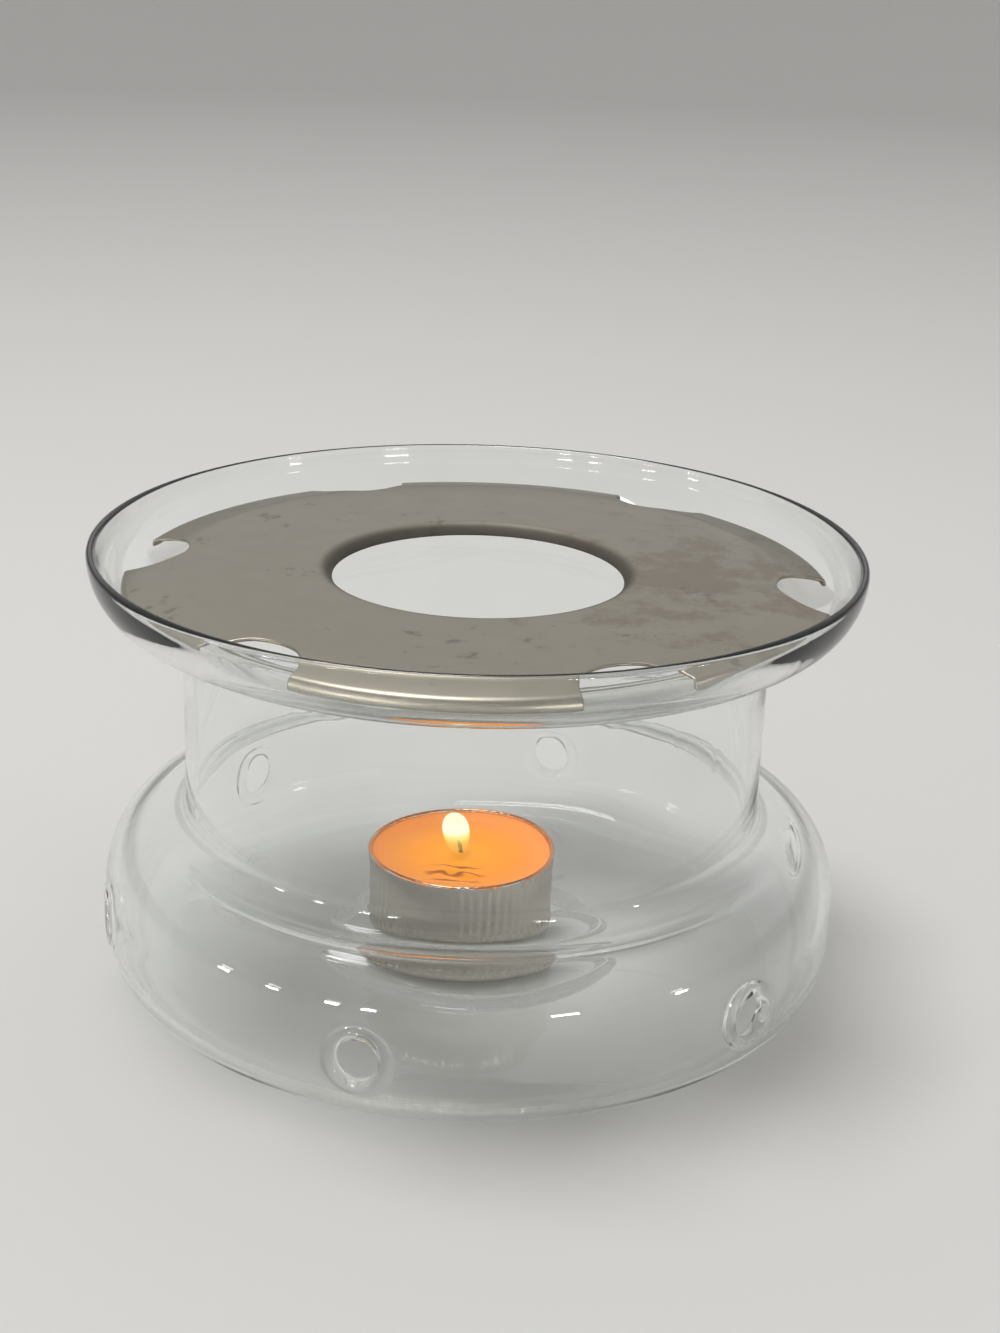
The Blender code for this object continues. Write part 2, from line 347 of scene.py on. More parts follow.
def ramp(tree, value, stops):
    """A colour ramp over a value, from (position, colour) stops."""
    made = add_node(tree, "ShaderNodeValToRGB")
    made.color_ramp.interpolation = "EASE"
    elements = made.color_ramp.elements
    while len(elements) < len(stops):
        elements.new(0.5)
    for element, (position, shade) in zip(elements, stops):
        element.position = position
        element.color = (*shade, 1.0) if hasattr(shade, "__len__") else (shade, shade, shade, 1.0)
    feed(made, "Fac", value)
    return made.outputs["Color"]


def math_node(tree, operation, first, second=None, third=None):
    """A Math node whose inputs are sockets or numbers."""
    made = add_node(tree, "ShaderNodeMath", operation=operation)
    for socket, value in zip(made.inputs, (first, second, third)):
        if value is None:
            continue
        if isinstance(value, (int, float)):
            socket.default_value = value
        else:
            tree.links.new(value, socket)
    return made.outputs["Value"]


def mix_colour(tree, share, first, second):
    """Mixes two colours, each a socket or plain numbers, by a share."""
    made = add_node(tree, "ShaderNodeMix", data_type="RGBA")
    feed(made, "Factor", share)
    for name, value in (("A", first), ("B", second)):
        socket = [s for s in made.inputs if s.name == name and s.type == "RGBA"][0]
        if hasattr(value, "is_linked"):
            tree.links.new(value, socket)
        else:
            socket.default_value = (*value, 1.0)
    return [s for s in made.outputs if s.type == "RGBA"][0]


def object_coordinates(tree):
    """The piece's own coordinates."""
    return add_node(tree, "ShaderNodeTexCoord").outputs["Object"]


def centred(tree, vector, place):
    """Coordinates moved so that a place is their origin."""
    made = add_node(tree, "ShaderNodeMapping")
    made.inputs["Location"].default_value = [-value for value in place]
    feed(made, "Vector", vector)
    return made.outputs["Vector"]


def split_axes(tree, vector):
    """The X, Y and Z of some coordinates."""
    made = add_node(tree, "ShaderNodeSeparateXYZ")
    feed(made, "Vector", vector)
    return made.outputs


def flat_distance(tree, vector):
    """Distance from the vertical axis of some coordinates."""
    axes = split_axes(tree, vector)
    across = math_node(tree, "MULTIPLY", axes["X"], axes["X"])
    square = math_node(tree, "MULTIPLY_ADD", axes["Y"], axes["Y"], across)
    return math_node(tree, "SQRT", square)


def height_share(tree, vector, low, high):
    """Share of the way up from a low height to a high one."""
    axes = split_axes(tree, vector)
    made = add_node(tree, "ShaderNodeMapRange")
    set_sockets(made, {"From Min": low, "From Max": high})
    feed(made, "Value", axes["Z"])
    return made.outputs["Result"]


def mix_surface(tree, share, first, second):
    """Mixes two shaders by a share and makes the mix the material's surface."""
    mix = add_node(tree, "ShaderNodeMixShader")
    feed(mix, "Fac", share)
    feed(mix, 1, first)
    feed(mix, 2, second)
    feed(tree.nodes["Material Output"], "Surface", mix.outputs["Shader"])


def bump(tree, shader, height, strength, depth):
    """Raises a shader's surface by a height pattern."""
    made = add_node(tree, "ShaderNodeBump")
    set_sockets(made, {"Strength": strength, "Distance": depth})
    feed(made, "Height", height)
    feed(shader, "Normal", made.outputs["Normal"])


# Glass body

def glass_line(sizes):
    """Outside of the glass from the lip down to the middle of its flat underside.

    The curves follow each other with shared tangents: dish wall, dish floor and fillet, neck and
    fillet, shoulder, side and corner, foot. Also gives the distance along the line to the end of
    each of these, and the bulge's radius.
    """
    bulge = sizes.neck_radius + sizes.neck_fillet + sizes.ledge + sizes.shoulder_reach
    lip = sizes.neck_radius + sizes.dish_fillet + sizes.dish_floor + sizes.dish_round
    side_top = sizes.corner_radius + sizes.side_height
    shoulder_top = side_top + sizes.shoulder_rise
    neck_top = shoulder_top + sizes.neck_fillet + sizes.neck_height
    lip_height = neck_top + sizes.dish_fillet + sizes.dish_depth
    curves = [
        arc_line((lip - sizes.dish_round, lip_height), (sizes.dish_round, sizes.dish_depth), 0, -90),
        arc_line((sizes.neck_radius + sizes.dish_fillet, neck_top), sizes.dish_fillet, 90, 180),
        arc_line((sizes.neck_radius + sizes.neck_fillet, shoulder_top + sizes.neck_fillet),
                 sizes.neck_fillet, 180, 270),
        arc_line((bulge - sizes.shoulder_reach, side_top),
                 (sizes.shoulder_reach, sizes.shoulder_rise), 90, 0),
        arc_line((bulge - sizes.corner_radius, sizes.corner_radius), sizes.corner_radius, 0, -90),
        np.zeros((1, 2)),
    ]
    ends = [line_lengths(joined_line(*curves[:count]))[-1] for count in range(1, len(curves) + 1)]
    return joined_line(*curves), ends, bulge


def wall_points(sizes, line, where, angle, depth):
    """Points in the wall: the outer line turned about Z, less a depth along its normal.

    The depth is a share of the local thickness. The thickness is the wall, less a taper that fades
    from the lip down as a bell curve, plus the floor's ring as a bell curve over the radius and a
    faint ripple of slow sines along and around.
    """
    taper_reach, wave, drift, calm = 0.0040, 0.0052, 0.011, 0.03
    where, angle, depth = np.broadcast_arrays(where, angle, depth)
    radius, height = on_line(line, where)
    out, up = line_normals(line, where)
    taper = sizes.lip_taper * np.exp(-(where / taper_reach) ** 2)
    ring = sizes.ring_height * np.exp(-((radius - sizes.ring_radius) / sizes.ring_width) ** 2)
    ripple = sizes.ripple * np.sin(where / wave + 1.3 * np.sin(2.0 * angle))
    ripple = ripple * np.sin(3.0 * angle + where / drift) * smooth_step(radius / calm)
    inward = depth * (sizes.wall - taper + ring + ripple)
    return about_axis(radius - inward * out, height - inward * up, angle)


def square_ring(count):
    """Border of a square from -1 to 1, count steps a side, in order round it."""
    step = np.linspace(-1.0, 1.0, count + 1)[:-1]
    one = np.ones(count)
    across = np.concatenate([step, one, -step, -one])
    along = np.concatenate([-one, step, one, -step])
    return across, along


def vent_patch(sizes, line, vent, bulge, angle, half, count):
    """Wall round one vent, as a grid of rings from an outer square to the same square inside.

    Each ring lies between the square and a circle. Near the circle the wall swells by a smooth
    step, and the rim is half a round section carried about the vent's middle.
    """
    rings, crowding, section_steps = 10, 0.8, 16
    across, along = square_ring(count)
    turn = np.arctan2(along, across)
    rim = sizes.vent_rim
    circle = sizes.vent_radius + rim
    swell = rim / sizes.wall - 0.5
    swell_reach = 1.1 * rim
    share = np.linspace(0.0, 1.0, rings)[:, None] ** crowding
    ring_x = (1.0 - share) * half * across + share * circle * np.cos(turn)
    ring_y = (1.0 - share) * half * along + share * circle * np.sin(turn)
    far = (np.hypot(ring_x, ring_y) - circle) / swell_reach
    raised = swell * (1.0 - smooth_step(far))
    section = np.linspace(0.0, np.pi, section_steps + 1)[1:-1, None]
    rim_reach = circle - rim * np.sin(section)
    rim_x = rim_reach * np.cos(turn)
    rim_y = rim_reach * np.sin(turn)
    rim_depth = 0.5 - (rim / sizes.wall) * np.cos(section) + 0.0 * turn
    x = np.concatenate([ring_x, rim_x, ring_x[::-1]])
    y = np.concatenate([ring_y, rim_y, ring_y[::-1]])
    depth = np.concatenate([-raised, rim_depth, 1.0 + raised[::-1]])
    return wall_points(sizes, line, vent + y, angle + x / bulge, depth)


def glass_grids(sizes):
    """Outer wall, inner wall, lip and vent patches of the glass.

    The walls are grids over the distance along the line and the angle, with a square window left
    out round each vent. The lip is half an ellipse from the outer wall to the inner one.
    """
    line, ends, bulge = glass_line(sizes)
    dish, flare, fillet, shoulder, corner, middle = ends
    vent = shoulder + sizes.side_height / 2
    ring = middle - sizes.ring_radius
    ring_half, slack = 0.005, 1e-9
    count, between_steps, lip_steps = 16, 20, 12
    half_angle = math.radians(6.0)
    half = bulge * half_angle
    sector = 2.0 * math.pi / sizes.vent_count
    window = np.linspace(-half_angle, half_angle, count + 1)
    between = np.linspace(half_angle, sector - half_angle, between_steps + 1)[1:-1]
    sector_angles = np.concatenate([window, between])
    centres = sizes.vent_first + sector * np.arange(sizes.vent_count)
    angle = (centres[:, None] + sector_angles[None, :]).ravel()
    stops = [0.0, dish, flare, flare + sizes.neck_height, fillet, vent - half, vent + half,
             corner, ring - ring_half, ring + ring_half, middle]
    row_counts = [24, 18, 22, 18, 18, count, 18, 14, 36, 10]
    where = rows_between(stops, row_counts)
    in_band = (where[:-1] > vent - half - slack) & (where[:-1] < vent + half - slack)
    in_window = np.tile(np.arange(sector_angles.size) < count, sizes.vent_count)
    keep = ~(in_band[:, None] & in_window[None, :])
    outer = wall_points(sizes, line, where[:, None], angle[None, :], 0.0)
    inner = wall_points(sizes, line, where[:, None], angle[None, :], 1.0)
    crest = (outer[:1] + inner[:1]) / 2
    turn = np.linspace(0.0, np.pi, lip_steps + 1)[:, None, None]
    rise = np.array([0.0, 0.0, sizes.lip_rise])
    lip = crest + (outer[:1] - crest) * np.cos(turn) + rise * np.sin(turn)
    grids = [
        (outer, grid_quads(outer, wrap_columns=True, keep=keep)),
        (inner, grid_quads(inner, wrap_columns=True, keep=keep, flip=True)),
        (lip, grid_quads(lip, wrap_columns=True, flip=True)),
    ]
    for centre in centres:
        patch = vent_patch(sizes, line, vent, bulge, centre, half, count)
        grids.append((patch, grid_quads(patch, wrap_columns=True)))
    return grids


def glass_material(sizes):
    """Clear glass with faint streaks of deeper tint, which lets lamp and room light through.

    In the band of the vents, light that has been thrown back twice inside the wall goes straight
    out, because a vent's rim would otherwise look black.
    """
    made, tree, shader = new_material("clear_blown_glass")
    place = object_coordinates(tree)
    streaks = ramp(tree, noise(tree, place, 38.0, 2.0), [(0.40, 0.0), (0.65, 1.0)])
    deep = [0.985 * value for value in sizes.tint]
    feed(shader, "Base Color", mix_colour(tree, streaks, sizes.tint, deep))
    set_sockets(shader, {"Roughness": 0.0, "IOR": 1.47, "Transmission Weight": 1.0})
    clear = add_node(tree, "ShaderNodeBsdfTransparent")
    clear.inputs["Color"].default_value = (0.97, 0.975, 0.97, 1.0)
    path = add_node(tree, "ShaderNodeLightPath").outputs
    soft = math_node(tree, "MAXIMUM", path["Is Shadow Ray"], path["Is Diffuse Ray"])
    vents = sizes.corner_radius + sizes.side_height / 2
    band_half = 0.012
    band = math_node(tree, "COMPARE", split_axes(tree, place)["Z"], vents, band_half)
    thrown = math_node(tree, "GREATER_THAN", path["Glossy Depth"], 1.5)
    trapped = math_node(tree, "MULTIPLY", band, thrown)
    through = math_node(tree, "MAXIMUM", soft, trapped)
    mix_surface(tree, through, shader.outputs["BSDF"], clear.outputs["BSDF"])
    return made


class WARMER_OT_glass(bpy.types.Operator):
    """Build the blown glass body with its air vents."""

    bl_idname = "warmer.glass"
    bl_label = "Glass body"

    def execute(self, context):
        sizes = context.scene.warmer_glass
        made = surface_object("glass_shell", glass_grids(sizes))
        dress(made, glass_material(sizes), "glass", ["glass_body"])
        return {"FINISHED"}


# Steel plate

def plate_line(sizes):
    """Middle of the sheet from the hole's lip to the flange's foot, and its normals' headings.

    Bends are arcs: the height falls by the bend radius times one less the cosine of the turn.
    Heights are counted from the flat's upper side.
    """
    lip_steps, bend_steps, flange_steps = 28, 12, 24
    half = sizes.sheet / 2
    slope = sizes.border_slope
    bend_run = sizes.border_bend * math.sin(slope)
    flange_run = sizes.flange_bend * (1.0 - math.sin(slope))
    flat_end = sizes.radius - bend_run - sizes.border_run - flange_run
    shoulder = sizes.hole_radius + sizes.hole_bend * math.sin(sizes.hole_turn)
    lip = np.linspace(sizes.hole_turn, 0.0, lip_steps)
    bend = np.linspace(0.0, slope, bend_steps)
    flange = np.linspace(slope, math.pi / 2, flange_steps)
    border_end = flat_end + bend_run + sizes.border_run
    border_fall = (sizes.border_bend * (1.0 - math.cos(slope))
                   + sizes.border_run * math.tan(slope))
    flange_fall = border_fall + sizes.flange_bend * (math.cos(slope) - np.cos(flange))
    radius = np.concatenate([
        shoulder - sizes.hole_bend * np.sin(lip),
        flat_end + sizes.border_bend * np.sin(bend),
        border_end + sizes.flange_bend * (np.sin(flange) - math.sin(slope)),
        [sizes.radius],
    ])
    height = np.concatenate([
        sizes.hole_bend * (np.cos(lip) - 1.0),
        sizes.border_bend * (np.cos(bend) - 1.0),
        -flange_fall,
        [-flange_fall[-1] - sizes.flange_drop],
    ])
    heading = np.concatenate([-lip, bend, flange, [math.pi / 2]])
    middle = np.stack([radius - half * np.sin(heading), height - half * np.cos(heading)], axis=1)
    return middle, heading


def plate_outline(sizes):
    """Edge of the plate in order round it: radius, angle, and the way out of the metal there.

    Arcs of the outer circle lie between arcs of the notch circles, which are centred on it and
    meet it where the cosine of the notch's own angle is its radius over the plate's diameter.
    """
    notch_steps, edge_steps = 48, 31
    sector = 2.0 * math.pi / sizes.notch_count
    centres = sizes.notch_first + sector * np.arange(sizes.notch_count)
    meet = math.acos(sizes.notch_radius / (2.0 * sizes.radius))
    turn = meet * np.sin(np.linspace(-math.pi / 2, math.pi / 2, notch_steps + 1))
    inward = sizes.notch_radius * np.cos(turn)
    aside = sizes.notch_radius * np.sin(turn)
    notch_radius = np.hypot(sizes.radius - inward, aside)
    notch_angle = np.arctan2(aside, sizes.radius - inward)
    edge_angle = np.linspace(notch_angle[-1], sector - notch_angle[-1], edge_steps + 1)[1:-1]
    radius = np.concatenate([notch_radius, np.full(edge_angle.size, sizes.radius)])
    offset = np.concatenate([notch_angle, edge_angle])
    cut = np.concatenate([np.ones(turn.size), np.zeros(edge_angle.size)])
    angle = (centres[:, None] + offset[None, :]).ravel()
    radius = np.tile(radius, sizes.notch_count)
    cut = np.tile(cut, sizes.notch_count)
    middle = np.repeat(about_axis(sizes.radius, 0.0, centres), offset.size, axis=0)
    away = middle - about_axis(radius, 0.0, angle)
    away /= np.linalg.norm(away, axis=1, keepdims=True)
    return radius, angle, cut, away


def plate_grid(sizes, top):
    """Closed sections of the sheet, one for each point of the outline.

    A section runs from the hole to the outline on the upper side, round a half-round edge,
    back on the lower side and round the hole's edge. In a notch it ends at the notch's radius,
    looked up on the line without the steep points at the flange's end.
    """
    steep, slack, cap_steps = 12, 0.00002, 6
    lip_share, border_share = 0.12, 0.72
    middle, heading = plate_line(sizes)
    run = line_lengths(middle)
    radius, angle, cut, away = plate_outline(sizes)
    reach = np.interp(radius - sizes.sheet / 2, middle[:-steep, 0], run[:-steep])
    reach = np.where(radius > sizes.radius - slack, run[-1], np.minimum(reach, run[-1]))
    share = rows_between([0.0, lip_share, border_share, 1.0], [10, 8, 26])
    where = share[:, None] * reach[None, :]
    mid_radius = np.interp(where, run, middle[:, 0])
    mid_height = np.interp(where, run, middle[:, 1]) + top
    turn = np.interp(where, run, heading)
    mid = about_axis(mid_radius, mid_height, angle[None, :])
    normal = about_axis(np.sin(turn), np.cos(turn), angle[None, :])
    ahead = about_axis(np.cos(turn), -np.sin(turn), angle[None, :])
    half = sizes.sheet / 2
    end_way = np.where(cut[:, None] > 0.5, away, ahead[-1])
    cap = np.linspace(0.0, np.pi, cap_steps + 1)[1:-1, None, None]
    outer_cap = mid[-1] + half * (np.cos(cap) * normal[-1] + np.sin(cap) * end_way)
    inner_cap = mid[0] - half * (np.cos(cap) * normal[0] + np.sin(cap) * ahead[0])
    return np.concatenate([mid + half * normal, outer_cap,
                           (mid - half * normal)[::-1], inner_cap])


def steel_material(sizes):
    """Satin steel with a mottled heat stain, groups of dark specks, fine scuffs and a dark lip,
    partly soot and partly painted reflection.
    """
    made, tree, shader = new_material("satin_heat_stained_steel")
    place = object_coordinates(tree)
    cloud = noise(tree, place, 85.0, 6.0, 0.66)
    stain_place = centred(tree, place, (0.040, -0.004, PLATE_TOP))
    fall = math_node(tree, "MULTIPLY", flat_distance(tree, stain_place), 4.4)
    patch = math_node(tree, "SUBTRACT", cloud, fall)
    share = ramp(tree, patch, [(0.35, 0.0), (0.50, 1.0)])
    base = mix_colour(tree, share, sizes.steel, sizes.stain)
    group = noise(tree, place, 52.0, 2.0, 0.5)
    speck = math_node(tree, "MULTIPLY_ADD", group, 0.45, noise(tree, place, 260.0, 4.0, 0.6))
    speck_share = ramp(tree, speck, [(0.880, 0.0), (0.985, 0.6)])
    speck_colour, soot_and_reflection_colour = (0.12, 0.10, 0.085), (0.085, 0.078, 0.068)
    dirty = mix_colour(tree, speck_share, base, speck_colour)
    # Darker, rougher lip round the hole: partly soot, partly a painted dark reflection of the room
    # in front
    out = math_node(tree, "DIVIDE", flat_distance(tree, place), 2.0 * sizes.hole_radius)
    soot_and_dark_reflection = ramp(tree, out, [(0.512, 0.8), (0.552, 0.0)])
    feed(shader, "Base Color", mix_colour(tree, soot_and_dark_reflection, dirty, soot_and_reflection_colour))
    scuff = noise(tree, place, 130.0, 4.0, 0.6)
    rough = math_node(tree, "MULTIPLY_ADD", scuff, 0.16, 0.26)
    dull = math_node(tree, "MULTIPLY_ADD", soot_and_dark_reflection, 0.45, rough)
    feed(shader, "Roughness", dull)
    bump(tree, shader, scuff, 0.2, 0.00005)
    shader.inputs["Metallic"].default_value = 1.0
    return made


class WARMER_OT_plate(bpy.types.Operator):
    """Build the pressed steel plate that carries the pot."""

    bl_idname = "warmer.plate"
    bl_label = "Steel plate"

    def execute(self, context):
        sizes = context.scene.warmer_plate
        grid = plate_grid(sizes, PLATE_TOP)
        quads = grid_quads(grid, wrap_rows=True, wrap_columns=True)
        made = surface_object("pot_plate", [(grid, quads)], sharp=40.0)
        dress(made, steel_material(sizes), "plate", ["support_plate"])
        return {"FINISHED"}


# Tea light

def candle_points(radius, height, angle):
    """Points about the tea light's own axis, heights counted from the cup's foot."""
    return about_axis(radius, height, angle) + np.array([CANDLE_X, CANDLE_Y, CANDLE_Z])


def pool_level(sizes):
    """Height of the melted pool over the cup's foot."""
    return sizes.cup_height - sizes.wax_drop


def cup_grid(sizes):
    """The foil cup: its section turned about its axis, its wall pushed in and out by flutes.

    The flutes are a cosine round the axis, made uneven by two slow sines, and fade by smooth steps
    to nothing at the foot and to less at the rim.
    """
    flute_steps, flute_start, flute_rise, rim_fade = 6, 0.0012, 0.0030, 0.0010
    body = sizes.cup_radius - sizes.cup_roll
    inner = sizes.cup_edge - sizes.cup_wall
    edge = (body - sizes.cup_edge, sizes.cup_edge)
    roll = (sizes.cup_roll + sizes.cup_wall) / 2
    rim = (sizes.cup_radius - roll, sizes.cup_height - roll)
    wall = np.linspace(edge[1], rim[1], 16)[1:-1]
    line = joined_line(
        [(0.0, sizes.cup_wall)],
        arc_line(edge, inner, -90, 0, 8),
        np.stack([np.full(wall.size, body - sizes.cup_wall), wall], axis=1),
        arc_line(rim, roll, 180, -40, 14),
        np.stack([np.full(wall.size, body), wall], axis=1)[::-1][2:],
        arc_line(edge, sizes.cup_edge, 0, -90, 10),
        [(0.0, 0.0)],
    )
    angle = full_turn(flute_steps * sizes.flute_count)
    low = smooth_step((line[:, 1] - flute_start) / flute_rise)
    high = 1.0 - 0.6 * smooth_step((line[:, 1] - rim[1] + rim_fade) / rim_fade)
    fade = low * high * smooth_step((line[:, 0] - 0.8 * body) / (0.15 * body))
    uneven = 1.0 + 0.35 * np.sin(5.0 * angle + 0.6) * np.sin(2.0 * angle + 1.1)
    flute = sizes.flute_depth * (np.cos(sizes.flute_count * angle) - 1.0) * uneven
    radius = line[:, 0, None] + fade[:, None] * flute[None, :]
    return candle_points(radius, line[:, 1, None], angle[None, :])


def foil_material(sizes):
    """Bright thin foil, a little uneven, with a ragged film of wax on its rim."""
    made, tree, shader = new_material("bright_foil")
    place = object_coordinates(tree)
    crinkle = noise(tree, place, 160.0, 3.0)
    rough = math_node(tree, "MULTIPLY_ADD", crinkle, 0.14, 0.13)
    feed(shader, "Roughness", rough)
    bump(tree, shader, crinkle, 0.3, 0.00015)
    rim = CANDLE_Z + sizes.cup_height
    film_height = 0.0012
    rise = height_share(tree, place, rim - film_height, rim)
    ragged = math_node(tree, "MULTIPLY", noise(tree, place, 420.0, 2.0), rise)
    film = ramp(tree, ragged, [(0.26, 0.0), (0.44, 0.9)])
    feed(shader, "Base Color", mix_colour(tree, film, sizes.foil, sizes.wax))
    shader.inputs["Metallic"].default_value = 1.0
    return made


class WARMER_OT_cup(bpy.types.Operator):
    """Build the tea light's foil cup."""

    bl_idname = "warmer.cup"
    bl_label = "Foil cup"

    def execute(self, context):
        sizes = context.scene.warmer_candle
        made = turned_object("foil_cup", cup_grid(sizes))
        dress(made, foil_material(sizes), "candle", ["candle_cup"])
        return {"FINISHED"}


def wax_height(sizes, radius, angle):
    """Height of the wax: a level pool, climbs at the cup's wall and the wick, a crust in front.

    The pool's border wanders round the axis by two slow sines and draws in at the front by a bell
    curve. The crust is a bell curve about its own middle, wrinkled by bent sines.
    """
    draw, draw_middle, draw_reach = 0.34, -0.08, 0.42
    crust_width, crust_reach, crust_rise = 0.0046, 0.0032, 0.00035
    fold_depth, fold_length, fold_bend = 0.00028, 0.00075, 0.0016
    wick_rise, wick_reach = 0.0004, 0.0011
    level = pool_level(sizes)
    side = sizes.cup_radius - sizes.cup_roll - sizes.cup_wall
    across = radius * np.sin(angle)
    back = -radius * np.cos(angle)
    turn = np.arctan2(np.sin(angle), np.cos(angle))
    wander = 0.04 * np.sin(2.0 * angle + 0.9) + 0.03 * np.sin(5.0 * angle)
    drawn = draw * np.exp(-((turn - draw_middle) / draw_reach) ** 2)
    border = sizes.pool_radius * (1.0 + wander) * (1.0 - drawn)
    climb = sizes.wax_climb * smooth_step((radius - border) / (side - border)) ** 1.5
    crust = np.exp(-((across - CRUST_X) / crust_width) ** 2 - ((back - CRUST_Y) / crust_reach) ** 2)
    fold = np.sin(back / fold_length + 1.6 * np.sin(across / fold_bend + 0.5))
    wick = wick_rise * np.exp(-(radius / wick_reach) ** 2)
    return level + climb + crust * (crust_rise + fold_depth * fold) + wick


def wax_grid(sizes):
    """The wax: its uneven top, its side and its flat foot with a rounded edge."""
    gap = 0.00012
    side = sizes.cup_radius - sizes.cup_roll - sizes.cup_wall - gap
    foot = sizes.cup_wall + gap
    edge = sizes.cup_edge - sizes.cup_wall
    angle = full_turn(240)
    across = np.linspace(0.0, 1.0, 81)[:, None] * side
    top = candle_points(across, wax_height(sizes, across, angle[None, :]), angle[None, :])
    level = wax_height(sizes, side, angle)
    fall = np.linspace(0.0, 1.0, 6)[1:, None]
    wall = candle_points(side, level * (1.0 - fall) + (foot + edge) * fall, angle[None, :])
    turn = np.radians(np.linspace(0.0, 90.0, 7))[1:, None]
    round_foot = candle_points(side - edge * (1.0 - np.cos(turn)),
                               foot + edge * (1.0 - np.sin(turn)), angle[None, :])
    base = candle_points((side - edge) * np.linspace(1.0, 0.0, 4)[1:, None], foot, angle[None, :])
    return np.concatenate([top, wall, round_foot, base])


def wax_material(sizes):
    """Orange wax, deep and clear in the melted pool; painted shade in the crust's cracks, painted
    glow by the wick.
    """
    made, tree, shader = new_material("orange_wax_painted_glow")
    place = centred(tree, object_coordinates(tree), (CANDLE_X, CANDLE_Y, CANDLE_Z))
    away = math_node(tree, "DIVIDE", flat_distance(tree, place), sizes.cup_radius)
    wander = noise(tree, place, 170.0, 2.0)
    edge = math_node(tree, "MULTIPLY_ADD", wander, 0.16, away)
    solid = ramp(tree, edge, [(0.50, 0.0), (0.95, 1.0)])
    crust_place = centred(tree, place, (CRUST_X, CRUST_Y, 0.0))
    crust = ramp(tree, math_node(tree, "MULTIPLY", flat_distance(tree, crust_place), 135.0),
                 [(0.45, 0.9), (1.0, 0.0)])
    fold = add_node(tree, "ShaderNodeTexWave", bands_direction="Y")
    set_sockets(fold, {"Scale": 105.0, "Distortion": 5.0, "Detail": 1.0, "Detail Scale": 2.2})
    feed(fold, "Vector", place)
    crack_shade = ramp(tree, fold.outputs["Fac"], [(0.04, 1.0), (0.24, 0.0)])
    # Painted shade in the crust's cracks, darkening both the wax's colour and its glow
    painted_crack_shade = math_node(tree, "MULTIPLY", crust, crack_shade)
    base = mix_colour(tree, solid, sizes.pool, sizes.wax)
    feed(shader, "Base Color", mix_colour(tree, painted_crack_shade, base, sizes.crack_shade))
    feed(shader, "Roughness", ramp(tree, edge, [(0.50, 0.14), (0.80, 0.42)]))
    bump(tree, shader, wander, 0.12, 0.0003)
    # Painted glow: emission, brightest by the wick, standing in for the flame's light shining
    # through the wax
    glow = ramp(tree, away, [(0.0, (1.0, 0.50, 0.0)), (0.45, (1.0, 0.40, 0.0)),
                             (1.0, (0.80, 0.23, 0.02))])
    feed(shader, "Emission Color", mix_colour(tree, painted_crack_shade, glow, sizes.crack_shade))
    set_sockets(shader, {"Emission Strength": 0.45, "Specular IOR Level": 0.08})
    return made


class WARMER_OT_wax(bpy.types.Operator):
    """Build the tea light's wax."""

    bl_idname = "warmer.wax"
    bl_label = "Wax"

    def execute(self, context):
        sizes = context.scene.warmer_candle
        made = turned_object("orange_wax", wax_grid(sizes), flip=False, sharp=60.0)
        dress(made, wax_material(sizes), "candle", ["candle_wax"])
        return {"FINISHED"}


def wick_middle(sizes, share):
    """Middle of the wick over its height share: upright, then leaning by the share squared."""
    foot_gap = 0.0004
    low = sizes.cup_wall + foot_gap
    level = pool_level(sizes)
    height = low + (level + sizes.wick_stand - low) * share
    out = np.clip((height - level) / sizes.wick_stand, 0.0, 1.0)
    return -sizes.wick_lean * out * out, height


def wick_grid(sizes):
    """The wick: a ring carried up its middle line, with a plait's bumps and a blunt burnt tip."""
    plait_depth, plait_length, blunt_share, foot_share = 0.10, 0.00022, 0.03, 0.001
    share = rows_between([0.0, 0.7, 1.0], [14, 39])
    angle = full_turn(24)
    lean, height = wick_middle(sizes, share)
    tip = np.sqrt(np.clip((1.0 - share) / blunt_share, 0.0, 1.0))
    foot = np.clip(share / foot_share, 0.0, 1.0)
    plait = 1.0 + plait_depth * np.sin(2.0 * angle[None, :] + height[:, None] / plait_length)
    radius = (sizes.wick_radius * tip * foot)[:, None] * plait
    grid = candle_points(radius, height[:, None], angle[None, :])
    grid[:, :, 0] += lean[:, None]
    return grid


def wick_material(sizes):
    """Burnt cotton, flecked with ash, with an ember at its tip."""
    made, tree, shader = new_material("burnt_cotton")
    place = object_coordinates(tree)
    char = noise(tree, place, 2600.0, 3.0)
    ash = ramp(tree, char, [(0.52, 0.0), (0.72, 0.6)])
    charred, ashen = (0.045, 0.022, 0.012), (0.16, 0.12, 0.09)
    feed(shader, "Base Color", mix_colour(tree, ash, charred, ashen))
    bump(tree, shader, char, 0.5, 0.00008)
    low = CANDLE_Z + pool_level(sizes)
    rise = height_share(tree, place, low, low + sizes.wick_stand)
    ember = ramp(tree, rise, [(0.82, 0.0), (0.97, (1.0, 0.24, 0.03))])
    feed(shader, "Emission Color", ember)
    set_sockets(shader, {"Roughness": 0.9, "Emission Strength": 1.0})
    return made


def tin_material():
    """Dull tinned sheet with cloudy patches."""
    made, tree, shader = new_material("tinned_sheet")
    cloud = noise(tree, object_coordinates(tree), 900.0, 3.0)
    shade = ramp(tree, cloud, [(0.35, (0.30, 0.29, 0.27)), (0.65, (0.42, 0.41, 0.38))])
    feed(shader, "Base Color", shade)
    feed(shader, "Roughness", math_node(tree, "MULTIPLY_ADD", cloud, 0.2, 0.3))
    shader.inputs["Metallic"].default_value = 1.0
    return made


